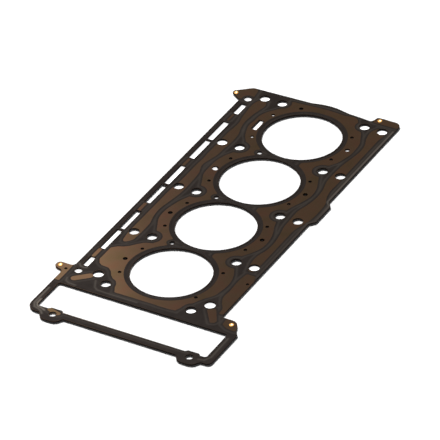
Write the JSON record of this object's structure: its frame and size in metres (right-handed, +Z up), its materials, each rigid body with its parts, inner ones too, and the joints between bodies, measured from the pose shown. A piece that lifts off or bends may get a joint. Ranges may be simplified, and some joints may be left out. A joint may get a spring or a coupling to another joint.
{
  "type": "cylinder head gasket",
  "caption": "Flat coated-steel cylinder head gasket with beaded cylinder bores, bolt and fluid holes, side slots and a timing case frame, clinched by brass eyelets.",
  "frame": {"origin": "middle of the row of cylinder bores, on the block face (the underside)", "axes": "+X across the engine away from the side slots, +Y along the row of bores away from the timing case window, +Z up from the block face to the head face"},
  "size_m": [0.2195, 0.4625, 0.0014],
  "materials": {
    "coated_steel": "satin brown elastomer coat on spring steel",
    "track_rubber": "dark grey screen-printed rubber sealing tracks with a bead line along their middle",
    "eyelet_brass": "bright rolled brass"
  },
  "bodies": {
    "root": {"gasket_plate": "coated_steel", "eyelets": "eyelet_brass"}
  },
  "joints": []
}
